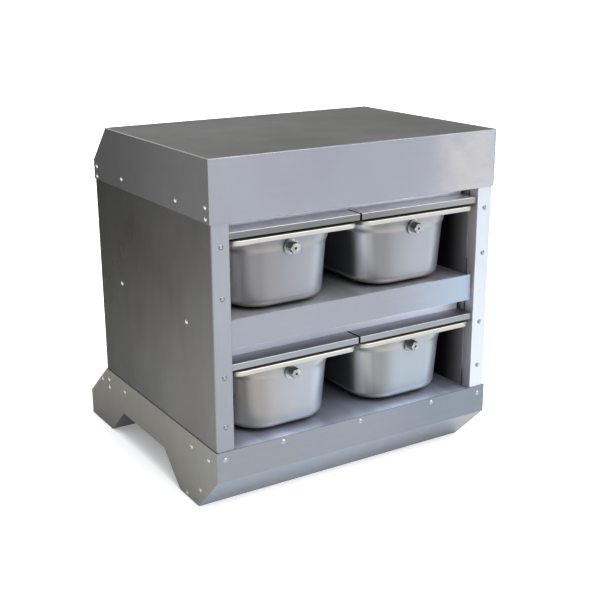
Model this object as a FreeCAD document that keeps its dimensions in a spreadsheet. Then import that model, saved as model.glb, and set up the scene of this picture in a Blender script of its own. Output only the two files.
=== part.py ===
import FreeCAD, Part
import math
import os
import Sketcher

# Sheet-metal cabinet with four slide-out pans under two lamp trays.
# Millimetres.  +X to the right, the open front faces -Y, +Z up.  The pieces are
# drawn from the left side panel's outer face (x = 0), the front sheets' outer
# face (y = 0) and the floor (z = 0); every sub-part's Placement then moves that
# station to the part's origin, the bottom centre of the whole object.

os.makedirs("parts", exist_ok=True)
doc = FreeCAD.newDocument("cabinet")
sheet = doc.addObject("Spreadsheet::Sheet", "Dims")

VALUES = [
    # carcass
    ("width", 430.0), ("gauge", 1.2), ("height", 462.0), ("topdepth", 305.0),
    ("capdepth", 355.5), ("apronlow", 384.5), ("slopelow", 411.5),
    ("basetop", 96.0), ("toe", 55.6), ("footend", 111.3), ("archfront", 158.9),
    ("archrear", 297.8), ("archhigh", 43.4), ("rearfoot", 346.4),
    ("basedepth", 425.5), ("reardrop", 38.4), ("panellow", 58.0),
    ("stilewide", 24.5), ("hemdeep", 17.0), ("cornerbend", 3.0), ("slot", 2.6),
    # shelf and deck
    ("shelftop", 262.6), ("shelfdeck", 259.2), ("shelfhigh", 36.5), ("shelffront", 7.0),
    ("floordeck", 93.4),
    ("fasciaedge", 27.1), ("shelfrear", 336.0), ("returnflange", 13.0),
    ("tabhigh", 26.0),
    # tiers
    ("pitch", 164.8), ("covertop", 371.5), ("coverlip", 8.2), ("coverfront", 4.8),
    ("coverwide", 188.0), ("covergap", 3.2), ("coverrear", 336.0),
    ("ledgetop", 353.8), ("ledgefront", 24.0), ("ledgereach", 36.3),
    ("railhalf", 14.0), ("trayfront", 33.0), ("traydeep", 87.0), ("trayhigh", 32.5),
    ("trayedge", 27.5),
    # pans
    ("pancentre", 95.5), ("rimtop", 360.2), ("rimwide", 182.0), ("rimlong", 328.0),
    ("rimfront", 3.0), ("rimfall", 6.0), ("rimround", 12.0), ("panhigh", 97.2),
    ("panwall", 0.9), ("mouthwide", 154.0), ("mouthlong", 296.0), ("mouthround", 44.0),
    ("shoulder", 17.0), ("shoulderdeep", 10.0), ("shoulderin", 1.7), ("footwide", 139.0),
    ("footlong", 289.0), ("footround", 44.0), ("panfillet", 11.0),
    # pull knobs
    ("knobdrop", 20.4), ("knobflats", 12.0), ("knoblong", 10.5), ("dimple", 1.7),
    ("washerround", 10.3), ("washerthick", 2.0), ("screwround", 2.5),
    # rivets
    ("headround", 3.3), ("headhigh", 1.3), ("shankround", 1.6), ("holeround", 1.7),
    ("tailround", 2.4), ("taillong", 1.6),
    # lamps
    ("tuberound", 7.8), ("tubelong", 272.0), ("caplong", 8.0), ("pinlong", 6.6),
    ("pinround", 1.15), ("pinpitch", 5.0), ("holderwide", 18.0), ("holderthick", 11.0),
    ("holderhigh", 27.0), ("tuberise", 15.5), ("windowwide", 132.0), ("windowdeep", 34.0),
    # ballast and inlet
    ("ballastlong", 150.0), ("ballastwide", 42.0), ("ballasthigh", 28.0),
    ("inletx", 215.0), ("inletz", 245.0),
    # station of the origin, from the front plane
    ("originy", 0.0),
]
for row, (name, value) in enumerate(VALUES, start=1):
    sheet.set("A%d" % row, name)
    sheet.set("B%d" % row, repr(value))
    sheet.setAlias("B%d" % row, name)
doc.recompute()


class Dim:
    """A length with both its value and the sheet expression that gives it."""

    def __init__(self, val, expr=None):
        self.val = float(val)
        self.expr = expr if expr is not None else repr(float(val))

    @staticmethod
    def of(other):
        return other if isinstance(other, Dim) else Dim(other)

    def __add__(self, other):
        other = Dim.of(other)
        return Dim(self.val + other.val, "(%s + %s)" % (self.expr, other.expr))

    def __radd__(self, other):
        return Dim.of(other) + self

    def __sub__(self, other):
        other = Dim.of(other)
        return Dim(self.val - other.val, "(%s - %s)" % (self.expr, other.expr))

    def __rsub__(self, other):
        return Dim.of(other) - self

    def __mul__(self, other):
        other = Dim.of(other)
        return Dim(self.val * other.val, "(%s * %s)" % (self.expr, other.expr))

    def __rmul__(self, other):
        return Dim.of(other) * self

    def __truediv__(self, other):
        other = Dim.of(other)
        return Dim(self.val / other.val, "(%s / %s)" % (self.expr, other.expr))

    def __neg__(self):
        return Dim(-self.val, "(0 - %s)" % self.expr)


def root(dim):
    return Dim(math.sqrt(dim.val), "sqrt(%s)" % dim.expr)


D = {}
for name, value in VALUES:
    D[name] = Dim(value, "Dims." + name)
W, T = D["width"], D["gauge"]
YAXIS0 = Dim(0)

PARTS = []          # the sub-parts, in the order they are written


def serial(base, counter={}):
    counter[base] = counter.get(base, 0) + 1
    return "%s%03d" % (base, counter[base])


def bind(obj, prop, dim):
    dim = Dim.of(dim)
    obj.setExpression(prop, dim.expr)


def at(obj, x, y, z):
    """Ties a primitive's place to the sheet."""
    x, y, z = Dim.of(x), Dim.of(y), Dim.of(z)
    obj.Placement.Base = FreeCAD.Vector(x.val, y.val, z.val)
    bind(obj, "Placement.Base.x", x)
    bind(obj, "Placement.Base.y", y)
    bind(obj, "Placement.Base.z", z)
    return obj


def box(x0, x1, y0, y1, z0, z1):
    x0, x1, y0, y1, z0, z1 = [Dim.of(v) for v in (x0, x1, y0, y1, z0, z1)]
    obj = doc.addObject("Part::Box", serial("Box"))
    bind(obj, "Length", x1 - x0)
    bind(obj, "Width", y1 - y0)
    bind(obj, "Height", z1 - z0)
    return at(obj, x0, y0, z0)


TURN = {
    "+x": FreeCAD.Rotation(FreeCAD.Vector(0, 1, 0), 90),
    "-x": FreeCAD.Rotation(FreeCAD.Vector(0, 1, 0), -90),
    "+y": FreeCAD.Rotation(FreeCAD.Vector(1, 0, 0), -90),
    "-y": FreeCAD.Rotation(FreeCAD.Vector(1, 0, 0), 90),
    "+z": FreeCAD.Rotation(),
    "-z": FreeCAD.Rotation(FreeCAD.Vector(1, 0, 0), 180),
}
AXIS = {"+x": (1, 0, 0), "-x": (-1, 0, 0), "+y": (0, 1, 0), "-y": (0, -1, 0),
        "+z": (0, 0, 1), "-z": (0, 0, -1)}


def rod(way, x, y, z, radius, length):
    """A cylinder that starts at x, y, z and runs the given way."""
    obj = doc.addObject("Part::Cylinder", serial("Rod"))
    bind(obj, "Radius", radius)
    bind(obj, "Height", length)
    obj.Placement = FreeCAD.Placement(FreeCAD.Vector(), TURN[way])
    return at(obj, x, y, z)


def fuse(shapes, label="Fuse"):
    obj = doc.addObject("Part::MultiFuse", serial(label))
    obj.Shapes = shapes
    obj.Refine = True
    return obj


def group(shapes, label="Group"):
    obj = doc.addObject("Part::Compound", serial(label))
    obj.Links = shapes
    return obj


def cut(base, tools, label="Cut"):
    tool = tools[0] if len(tools) == 1 else group(tools, "Tools")
    obj = doc.addObject("Part::Cut", serial(label))
    obj.Base = base
    obj.Tool = tool
    return obj


def final(obj, label, shift=None):
    """Names a sub-part and moves its station to the part's origin."""
    obj.Label = label
    dx, dy, dz = shift if shift else (Dim(0), Dim(0), Dim(0))
    dx, dy, dz = Dim.of(dx), Dim.of(dy), Dim.of(dz)
    at(obj, dx - W / 2, dy - D["originy"], dz)
    PARTS.append(obj)
    return obj


def body(label):
    return doc.addObject("PartDesign::Body", serial("Body"))


def plane_of(bod, role):
    for feature in bod.Origin.OriginFeatures:
        if feature.Role == role:
            return feature
    raise ValueError(role)


def place_point(sk, geo, pos, x, y):
    """Ties one sketch point to the sketch's origin."""
    for value, kind, axis in ((x, "DistanceX", -2), (y, "DistanceY", -1)):
        value = Dim.of(value)
        if abs(value.val) < 1e-9:
            sk.addConstraint(Sketcher.Constraint("PointOnObject", geo, pos, axis))
        elif value.val > 0:
            i = sk.addConstraint(Sketcher.Constraint(kind, -1, 1, geo, pos, value.val))
            sk.setExpression("Constraints[%d]" % i, value.expr)
        else:
            i = sk.addConstraint(Sketcher.Constraint(kind, geo, pos, -1, 1, -value.val))
            sk.setExpression("Constraints[%d]" % i, (-value).expr)


def sketch(bod, role, offset=None):
    sk = bod.newObject("Sketcher::SketchObject", serial("Sketch"))
    sk.AttachmentSupport = [(plane_of(bod, role), "")]
    sk.MapMode = "FlatFace"
    if offset is not None:
        offset = Dim.of(offset)
        sk.AttachmentOffset = FreeCAD.Placement(FreeCAD.Vector(0, 0, offset.val), FreeCAD.Rotation())
        bind(sk, "AttachmentOffset.Base.z", offset)
    return sk


def polygon(sk, points):
    pts = [(Dim.of(a), Dim.of(b)) for a, b in points]
    count = len(pts)
    first = sk.GeometryCount
    for i in range(count):
        a, b = pts[i], pts[(i + 1) % count]
        sk.addGeometry(Part.LineSegment(FreeCAD.Vector(a[0].val, a[1].val, 0),
                                        FreeCAD.Vector(b[0].val, b[1].val, 0)), False)
    for i in range(count):
        sk.addConstraint(Sketcher.Constraint("Coincident", first + i, 2, first + (i + 1) % count, 1))
    for i in range(count):
        place_point(sk, first + i, 1, pts[i][0], pts[i][1])
    return sk


def rounded(sk, wide, long, radius):
    """A rectangle with round corners, centred on the sketch's origin."""
    w, l, r = wide.val / 2, long.val / 2, radius.val
    vec = FreeCAD.Vector
    lines = [(vec(-w + r, -l, 0), vec(w - r, -l, 0)), (vec(w, -l + r, 0), vec(w, l - r, 0)),
             (vec(w - r, l, 0), vec(-w + r, l, 0)), (vec(-w, l - r, 0), vec(-w, -l + r, 0))]
    arcs = [(vec(w - r, -l + r, 0), -90, 0), (vec(w - r, l - r, 0), 0, 90),
            (vec(-w + r, l - r, 0), 90, 180), (vec(-w + r, -l + r, 0), 180, 270)]
    g = sk.GeometryCount
    for i in range(4):
        sk.addGeometry(Part.LineSegment(*lines[i]), False)
        c, a0, a1 = arcs[i]
        sk.addGeometry(Part.ArcOfCircle(Part.Circle(c, vec(0, 0, 1), r),
                                        math.radians(a0), math.radians(a1)), False)
    for i in range(4):
        line, arc, nxt = g + 2 * i, g + 2 * i + 1, g + (2 * i + 2) % 8
        sk.addConstraint(Sketcher.Constraint("Tangent", line, 2, arc, 1))
        sk.addConstraint(Sketcher.Constraint("Tangent", arc, 2, nxt, 1))
    sk.addConstraint(Sketcher.Constraint("Horizontal", g))
    sk.addConstraint(Sketcher.Constraint("Vertical", g + 2))
    sk.addConstraint(Sketcher.Constraint("Horizontal", g + 4))
    sk.addConstraint(Sketcher.Constraint("Vertical", g + 6))
    for k in (3, 5, 7):
        sk.addConstraint(Sketcher.Constraint("Equal", g + 1, g + k))
    # the four sides stand half the width and half the length from the origin
    for geo, kind, dim, sign in ((g, "DistanceY", long, -1), (g + 4, "DistanceY", long, 1),
                                 (g + 2, "DistanceX", wide, 1), (g + 6, "DistanceX", wide, -1)):
        if sign > 0:
            i = sk.addConstraint(Sketcher.Constraint(kind, -1, 1, geo, 1, dim.val / 2))
        else:
            i = sk.addConstraint(Sketcher.Constraint(kind, geo, 1, -1, 1, dim.val / 2))
        sk.setExpression("Constraints[%d]" % i, (dim / 2).expr)
    i = sk.addConstraint(Sketcher.Constraint("Radius", g + 1, radius.val))
    sk.setExpression("Constraints[%d]" % i, radius.expr)
    return sk


def pad(bod, sk, length, other_way=False):
    feature = bod.newObject("PartDesign::Pad", serial("Pad"))
    feature.Profile = sk
    bind(feature, "Length", length)
    feature.Reversed = other_way
    return feature


def strip(bod, points, x0, x1):
    """A folded strip: a side-view outline pushed from x0 to x1."""
    sk = polygon(sketch(bod, "YZ_Plane", x0), points)
    return pad(bod, sk, x1 - x0)


def round_edges(bod, base, radius, want):
    """Rounds the edges of the last feature that want() picks."""
    doc.recompute()
    names = ["Edge%d" % (i + 1) for i, e in enumerate(base.Shape.Edges) if want(e)]
    if not names:
        raise RuntimeError("no edge to round on %s" % bod.Name)
    feature = bod.newObject("PartDesign::Fillet", serial("Fillet"))
    feature.Base = (base, names)
    bind(feature, "Radius", radius)
    return feature


def along(axis, **where):
    """Picks edges parallel to an axis whose middle has the given coordinates."""
    def want(edge):
        box_ = edge.BoundBox
        size = {"x": box_.XLength, "y": box_.YLength, "z": box_.ZLength}
        for key in size:
            if (size[key] > 0.01) != (key == axis):
                return False
        mid = {"x": (box_.XMin + box_.XMax) / 2, "y": (box_.YMin + box_.YMax) / 2,
               "z": (box_.ZMin + box_.ZMax) / 2}
        return all(abs(mid[key] - Dim.of(value).val) < 0.02 for key, value in where.items())
    return want


# ---------------------------------------------------------------- rivets
RIVETS = {"rivets_stile": [], "rivets_base_front": [], "rivets_cap": [],
          "rivets_shelf": [], "rivets_base_side": []}
HOLES = {}          # sheet label -> list of (way, x, y, z)


def rivet(kind, way, x, y, z, layers):
    """A dome-head rivet whose head stands the given way off a sheet face, with a
    clearance hole through each named sheet behind it."""
    x, y, z = Dim.of(x), Dim.of(y), Dim.of(z)
    ax = AXIS[way]
    inward = {"+x": "-x", "-x": "+x", "-y": "+y", "+y": "-y"}[way]
    grip = T * float(len(layers))
    big = (D["headround"] * D["headround"] + D["headhigh"] * D["headhigh"]) / (D["headhigh"] * 2.0)
    low = big - D["headhigh"]
    dome = doc.addObject("Part::Sphere", serial("Dome"))
    bind(dome, "Radius", big)
    dome.setExpression("Angle1", "asin(%s / %s)" % (low.expr, big.expr))
    dome.Angle2 = 90
    dome.Placement = FreeCAD.Placement(FreeCAD.Vector(), TURN[way])
    at(dome, x - low * float(ax[0]), y - low * float(ax[1]), z)
    shank = rod(inward, x, y, z, D["shankround"], grip + D["taillong"])
    tail = rod(inward, x - grip * float(ax[0]), y - grip * float(ax[1]), z,
               D["tailround"], D["taillong"])
    RIVETS[kind].append(fuse([dome, shank, tail], "Rivet"))
    for name in layers:
        HOLES.setdefault(name, []).append((way, x, y, z, grip))


def bored(obj, label):
    """Cuts a sheet's rivet holes."""
    tools = []
    for way, x, y, z, grip in HOLES.get(label, []):
        ax = AXIS[way]
        tools.append(rod({"+x": "-x", "-x": "+x", "-y": "+y"}[way],
                         x + T * float(ax[0]), y + T * float(ax[1]), z,
                         D["holeround"], grip + T * 2.0))
    return cut(obj, tools) if tools else obj


STILE_Z = [("upper", 356.3), ("upper", 293.1), ("lower", 193.2), ("lower", 128.4)]
for side in ("left", "right"):
    sgn = 1.0 if side == "left" else -1.0
    way = "-x" if side == "left" else "+x"

    def across(d, sgn=sgn):
        return Dim.of(d) if sgn > 0 else W - Dim.of(d)
    for tier, z in STILE_Z:
        rivet("rivets_stile", "-y", across(12.8), T, z,
              ["side_panel_" + side, "pan_bracket_%s_%s" % (tier, side)])
    rivet("rivets_base_front", "-y", across(10.8), 0, 84.9, ["base_front", "side_panel_" + side])
    for y, z, more in ((344.0, 404.0, 1), (344.6, 389.9, 1), (257.0, 399.3, 0), (90.5, 398.9, 0),
                       (11.0, 404.4, 0), (11.0, 390.5, 0)):
        rivet("rivets_cap", way, across(-T), y, z,
              ["cap_cheek_" + side, "side_panel_" + side] + (["back_panel"] if more else []))
    for y, z in ((277.8, 248.0), (74.5, 247.4)):
        rivet("rivets_shelf", way, across(0), y, z, ["side_panel_" + side, "middle_shelf"])
    for y, z, layers in ((347.0, 81.0, ["side_panel_" + side, "back_panel"]),
                         (347.0, 68.6, ["side_panel_" + side, "back_panel"]),
                         (288.5, 80.7, ["side_panel_" + side]),
                         (71.0, 79.3, ["side_panel_" + side]),
                         (23.6, 78.6, ["side_panel_" + side]),
                         (50.0, 26.5, ["base_front"]),
                         (89.0, 6.0, ["base_front"]),
                         (373.0, 73.5, ["base_rear"])):
        rivet("rivets_base_side", way, across(-T), y, z, ["base_cheek_" + side] + layers)
for x in (95.0, 215.0, 335.0):
    rivet("rivets_base_front", "-y", x, 0, 89.3, ["base_front", "floor_deck"])

# ---------------------------------------------------------------- carcass
slip = T * root(Dim(2.0))                       # a sheet's thickness along a 45 degree line
slope_sum = D["topdepth"] + D["height"]         # y + z on the rear slope's outer face
in_y, in_z = D["capdepth"] - T, D["height"] - T
inner_low = slope_sum - slip - in_y             # height of the inner slope at the rear drop
inner_y = slope_sum - slip - in_z               # depth of the inner slope at the top sheet

# side panels: one sheet each, bent round the front corner into the stile and
# turned back into a hem beside the opening
for side in ("left", "right"):
    def across(d, left=(side == "left")):
        return Dim.of(d) if left else W - Dim.of(d)
    b = body(side)
    sk = sketch(b, "XY_Plane", D["panellow"])
    hem_y = T + D["hemdeep"]
    outline = [(0, T), (D["stilewide"], T), (D["stilewide"], hem_y), (D["stilewide"] - T, hem_y),
               (D["stilewide"] - T, T * 2.0), (T, T * 2.0), (T, in_y), (0, in_y)]
    polygon(sk, [(across(a), c) for a, c in outline])
    plate = pad(b, sk, in_z - D["panellow"])
    sk = sketch(b, "YZ_Plane", across(0) - T * 2.0 if side == "left" else W - T * 2.0)
    polygon(sk, [(inner_y, in_z), (in_y + 2.0, in_z), (in_y + 2.0, inner_low - 2.0)])
    doc.recompute()
    before = plate.Shape.Volume
    nick = b.newObject("PartDesign::Pocket", serial("Pocket"))
    nick.Profile = sk
    bind(nick, "Length", T * 4.0)
    nick.Reversed = True
    doc.recompute()
    if not nick.Shape.Volume < before - 1.0:
        raise RuntimeError("the rear corner of a side panel was not cut")
    bend = round_edges(b, nick, D["cornerbend"], along("z", x=across(0), y=T))
    bend = round_edges(b, bend, D["cornerbend"] - T, along("z", x=across(T), y=T * 2.0))
    bend = round_edges(b, bend, T, along("z", x=across(D["stilewide"]), y=T))
    final(bored(b, "side_panel_" + side), "side_panel_" + side)

# the hood: apron, top, rear slope and rear drop folded from one sheet
b = body("cap")
cap = strip(b, [(0, D["apronlow"]), (0, D["height"]), (D["topdepth"], D["height"]),
                (D["capdepth"], D["slopelow"]), (D["capdepth"], D["apronlow"]),
                (in_y, D["apronlow"]), (in_y, inner_low), (inner_y, in_z),
                (T, in_z), (T, D["apronlow"])], -T, W + T)
bend = round_edges(b, cap, T * 1.5, along("x", y=0, z=D["height"]))
final(b, "top_cap")

for side in ("left", "right"):
    b = body("cheek")
    x0, x1 = (-T, Dim(0)) if side == "left" else (W, W + T)
    strip(b, [(T, D["apronlow"]), (T, in_z), (inner_y, in_z), (in_y, inner_low),
              (in_y, D["apronlow"])], x0, x1)
    final(bored(b, "cap_cheek_" + side), "cap_cheek_" + side)

# base front: upright face, 45 degree toe, foot flange and its upturned edge
b = body("front")
toe_in = D["toe"] + slip
front = strip(b, [(0, D["basetop"]), (0, D["toe"]), (D["toe"], 0), (D["footend"], 0),
                  (D["footend"], T), (toe_in - T, T), (T, toe_in - T), (T, D["basetop"])],
              -T, W + T)
web = strip(b, [(D["footend"] - T, T), (D["footend"], T), (D["footend"], D["archhigh"] * 0.7),
                (D["footend"] - T, D["archhigh"] * 0.7)], Dim(0), W)
for x0, x1 in ((Dim(0), T), (W - T, W)):
    strip(b, [(toe_in - 17.0, 17.0), (toe_in - 17.0 + 18.0, 17.0),
              (toe_in - 17.0 + 18.0, 36.0), (toe_in - 36.0, 36.0)], x0, x1)
    strip(b, [(80.0, T), (98.0, T), (98.0, 14.0), (80.0, 14.0)], x0, x1)
final(bored(b, "base_front"), "base_front")

# base rear: foot, upright and slope, with the web that closes the foot
rise = D["basetop"] - D["reardrop"]
run = D["basedepth"] - D["capdepth"]
diag = root(rise * rise + run * run)
drop = T * diag / run                           # the sheet's thickness measured upright
rear_in = D["reardrop"] + T * rise / run - drop
b = body("rear")
strip(b, [(D["rearfoot"], 0), (D["basedepth"], 0), (D["basedepth"], D["reardrop"]),
          (D["capdepth"], D["basetop"]), (D["capdepth"], D["basetop"] - drop),
          (D["basedepth"] - T, rear_in), (D["basedepth"] - T, T), (D["rearfoot"], T)],
      -T, W + T)
strip(b, [(D["rearfoot"], T), (D["rearfoot"] + T, T), (D["rearfoot"] + T, D["archhigh"]),
          (D["rearfoot"], D["archhigh"])], Dim(0), W)
strip(b, [(in_y, 82.0), (D["capdepth"], 82.0), (D["capdepth"], D["basetop"]),
          (in_y, D["basetop"])], Dim(0), W)
for x0, x1 in ((Dim(0), T), (W - T, W)):
    strip(b, [(365.0, 60.0), (382.0, 60.0), (382.0, D["basetop"] - drop - (382.0 - D["capdepth"]) * rise / run),
              (365.0, D["basetop"] - drop - (365.0 - D["capdepth"]) * rise / run)], x0, x1)
final(bored(b, "base_rear"), "base_rear")

arch_slope = (D["rearfoot"] - D["archrear"]) / D["archhigh"]
front_slope = (D["archfront"] - D["footend"]) / D["archhigh"]
for side in ("left", "right"):
    b = body("basecheek")
    x0, x1 = (-T, Dim(0)) if side == "left" else (W, W + T)
    strip(b, [(T, D["basetop"]), (T, toe_in - T), (toe_in - T, T),
              (D["footend"] + T * front_slope, T), (D["archfront"], D["archhigh"]),
              (D["archrear"], D["archhigh"]), (D["rearfoot"] - T * arch_slope, T),
              (D["basedepth"] - T, T), (D["basedepth"] - T, rear_in),
              (D["capdepth"], D["basetop"] - drop), (D["capdepth"], D["basetop"])], x0, x1)
    final(bored(b, "base_cheek_" + side), "base_cheek_" + side)

# floor deck: a little below the base front's top edge, its flanges folded down
deck_top = D["floordeck"]
tongue = D["stilewide"] + 0.6
past = T + D["hemdeep"] + 0.8                   # clear of the stiles' turned-in edges
deck = fuse([
    box(tongue, W - tongue, T, past, deck_top - T, deck_top),
    box(T, W - T, past, 336.0, deck_top - T, deck_top),
    box(T * 2.0, W - T * 2.0, 336.0, in_y - T, deck_top - T, deck_top),
    box(tongue, W - tongue, T, T * 2.0, 80.0, deck_top - T),
    box(T, T * 2.0, 100.0, 270.0, 80.0, deck_top - T),
    box(W - T * 2.0, W - T, 100.0, 270.0, 80.0, deck_top - T),
])
final(bored(deck, "floor_deck"), "floor_deck")

# middle shelf: deck with its edge turned up behind the fascia, the fascia with a
# return flange, side and rear flanges
st, sb = D["shelftop"], D["shelftop"] - D["shelfhigh"]
sd = D["shelfdeck"]
fe, sf = D["fasciaedge"], D["shelffront"]
shelf = fuse([
    box(fe, W - fe, sf + T, past, sd - T, sd),
    box(T, W - T, past, D["shelfrear"], sd - T, sd),
    box(fe, W - fe, sf, sf + T, sb, st),
    box(fe, W - fe, sf + T, sf + T * 2.0, sd, st - 0.4),
    box(fe, W - fe, sf + T, sf + D["returnflange"], sb, sb + T),
    box(T, T * 2.0, past, D["shelfrear"], st - D["tabhigh"], sd - T),
    box(W - T * 2.0, W - T, past, D["shelfrear"], st - D["tabhigh"], sd - T),
    box(T * 2.0, W - T * 2.0, D["shelfrear"] - T, D["shelfrear"], st - D["tabhigh"], sd - T),
])
final(bored(shelf, "middle_shelf"), "middle_shelf")

# back panel with side flanges and the inlet's window
back = fuse([
    box(T, W - T, in_y - T, in_y, 60.0, 409.0),
    box(T, T * 2.0, 337.0, in_y - T, 60.0, 409.0),
    box(W - T * 2.0, W - T, 337.0, in_y - T, 60.0, 409.0),
])
ix, iz = D["inletx"], D["inletz"]
window = box(ix - 14.0, ix + 14.0, in_y - 3.0, in_y + 3.0, iz - 10.2, iz + 10.2)
back = cut(back, [window])
final(bored(back, "back_panel"), "back_panel")

# ---------------------------------------------------------------- tiers
TIERS = (("upper", Dim(0)), ("lower", D["pitch"]))
for tier, fall in TIERS:
    ct, lt = D["covertop"] - fall, D["ledgetop"] - fall
    legz = (283.0, 366.0) if tier == "upper" else (118.4, 201.2)
    # side brackets: the bay's side wall with the rim ledge, the cover ledge and a foot
    # flange, and the joggled leg behind the stile
    stand = D["shelfdeck"] if tier == "upper" else D["floordeck"]
    crown = Dim(415.0) if tier == "upper" else D["shelfdeck"] - T - 0.2
    wall, start = D["stilewide"], T + D["hemdeep"] + D["slot"]
    for side in ("left", "right"):
        def bx(a0, a1, y0, y1, z0, z1, left=(side == "left")):
            a0, a1 = Dim.of(a0), Dim.of(a1)
            return box(a0, a1, y0, y1, z0, z1) if left else box(W - a1, W - a0, y0, y1, z0, z1)
        bracket = fuse([
            bx(wall - T, wall, start, D["coverrear"] - T - 0.4, stand, crown),
            bx(wall - 13.0, wall - T, D["ledgefront"], D["coverrear"], stand, stand + T),
            bx(wall, T + D["ledgereach"], D["ledgefront"], D["coverrear"], lt - T, lt),
            bx(wall, 34.0, D["ledgefront"], D["coverrear"], ct - T * 2.0, ct - T),
            bx(wall - T * 2.0 - 0.1, wall - T, start, start + T, legz[0], legz[1]),
            bx(wall - T * 2.0 - 0.1, wall - T - 0.1, T * 3.0, start, legz[0], legz[1]),
            bx(D["cornerbend"], wall - T - 0.1, T * 2.0, T * 3.0, legz[0], legz[1]),
        ])
        name = "pan_bracket_%s_%s" % (tier, side)
        final(bored(bracket, name), name)
    # centre rail
    mid, half = W / 2, D["railhalf"]
    rail = fuse([
        box(mid - half, mid + half, D["ledgefront"], in_y - T, lt - T, lt),
        box(mid - T / 2, mid + T / 2, D["ledgefront"], in_y - T, lt, ct - T * 2.0),
        box(mid - half, mid + half, D["ledgefront"], in_y - T, ct - T * 2.0, ct - T),
    ])
    final(rail, "centre_rail_" + tier)
    # cover plates, with a lip in front and a window under the lamp
    for side in ("left", "right"):
        if side == "left":
            x1 = mid - D["covergap"] / 2
            x0 = x1 - D["coverwide"]
        else:
            x0 = mid + D["covergap"] / 2
            x1 = x0 + D["coverwide"]
        cx = (x0 + x1) / 2
        cy = D["trayfront"] + D["traydeep"] / 2
        b = body("cover")
        cf = D["coverfront"]
        cover = strip(b, [(cf, ct - D["coverlip"]), (cf, ct), (D["coverrear"], ct),
                          (D["coverrear"], ct - T), (cf + T, ct - T),
                          (cf + T, ct - D["coverlip"])], x0, x1)
        round_edges(b, cover, T, along("x", y=cf, z=ct))
        opening = box(cx - D["windowwide"] / 2, cx + D["windowwide"] / 2,
                      cy - D["windowdeep"] / 2, cy + D["windowdeep"] / 2, ct - T * 3.0, ct + T)
        final(cut(b, [opening]), "cover_%s_%s" % (tier, side))
    # lamp tray: an upturned trough on the covers
    te, tf = D["trayedge"], D["trayfront"]
    tr = tf + D["traydeep"]
    tt = ct + D["trayhigh"]
    tray = fuse([
        box(te, W - te, tf, tf + T, ct, tt),
        box(te, W - te, tf + T, tr - T, tt - T, tt),
        box(te, W - te, tr - T, tr, ct, tt),
        box(te, te + T, tf + T, tr - T, ct, tt - T),
        box(W - te - T, W - te, tf + T, tr - T, ct, tt - T),
    ])
    final(tray, "lamp_tray_" + tier)
    # lamp: glass tube, two end caps with pins; and its two holders
    cy, cz = tf + D["traydeep"] / 2, ct + D["tuberise"]
    half = D["tubelong"] / 2
    glass = rod("+x", mid - half, cy, cz, D["tuberound"], D["tubelong"])
    final(glass, "uv_tube_" + tier)
    # a rotated primitive is moved by its own base, so its station is set again
    at(glass, mid - half - W / 2, cy - D["originy"], cz)
    ends = []
    for sgn, way in ((-1.0, "-x"), (1.0, "+x")):
        x = mid + half * sgn
        pieces = [rod(way, x, cy, cz, D["tuberound"] + 0.2, D["caplong"])]
        for k in (-0.5, 0.5):
            pieces.append(rod(way, x + D["caplong"] * sgn, cy, cz + D["pinpitch"] * k,
                              D["pinround"], D["pinlong"]))
        ends.append(fuse(pieces, "EndCap"))
    final(group(ends), "tube_ends_" + tier)
    holders = []
    for sgn in (-1.0, 1.0):
        x = mid + (half + D["caplong"]) * sgn
        xa, xb = (x - D["holderthick"], x) if sgn < 0 else (x, x + D["holderthick"])
        blank = box(xa, xb, cy - D["holderwide"] / 2, cy + D["holderwide"] / 2,
                    tt - T - D["holderhigh"], tt - T)
        slots = []
        way = "-x" if sgn < 0 else "+x"
        for k in (-0.5, 0.5):
            slots.append(rod(way, x - 1.0 * sgn, cy, cz + D["pinpitch"] * k,
                             D["pinround"] + 0.25, D["pinlong"] + 2.0))
        holders.append(cut(blank, slots))
    final(group(holders), "lamp_holders_" + tier)

# ballast across the upper covers, and the mains inlet in the back panel
bx0 = W / 2 - D["ballastlong"] / 2
ballast = fuse([
    box(bx0, bx0 + D["ballastlong"], 190.0, 190.0 + D["ballastwide"], D["covertop"],
        D["covertop"] + D["ballasthigh"]),
    box(bx0 - 14.0, bx0 + D["ballastlong"] + 14.0, 196.0, 184.0 + D["ballastwide"],
        D["covertop"], D["covertop"] + 2.0),
])
final(ballast, "ballast")

shell = fuse([
    box(ix - 24.0, ix + 24.0, in_y, in_y + 2.6, iz - 12.5, iz + 12.5),
    box(ix - 13.8, ix + 13.8, in_y - 14.5, in_y, iz - 10.0, iz + 10.0),
])
well = box(ix - 12.0, ix + 12.0, in_y - 12.5, in_y + 4.0, iz - 8.2, iz + 8.2)
shell = cut(shell, [well])
pins = [box(ix + dx - 1.0, ix + dx + 1.0, in_y - 13.0, in_y + 0.5, iz + dz - 2.0, iz + dz + 2.0)
        for dx, dz in ((-7.0, -1.5), (0.0, 2.5), (7.0, -1.5))]
final(fuse([shell] + pins), "mains_inlet")

# ---------------------------------------------------------------- pans
tilt = math.degrees(math.atan2((D["mouthlong"].val - D["footlong"].val) / 2, D["panhigh"].val))


def loft(bod, kind, sections):
    """A ruled loft through round-cornered rectangles at falling heights."""
    sks = []
    for z, wide, long, radius in sections:
        sks.append(rounded(sketch(bod, "XY_Plane", z), wide, long, radius))
    feature = bod.newObject(kind, serial("Loft"))
    feature.Profile = sks[0]
    feature.Sections = sks[1:]
    feature.Ruled = True
    return feature


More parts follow.
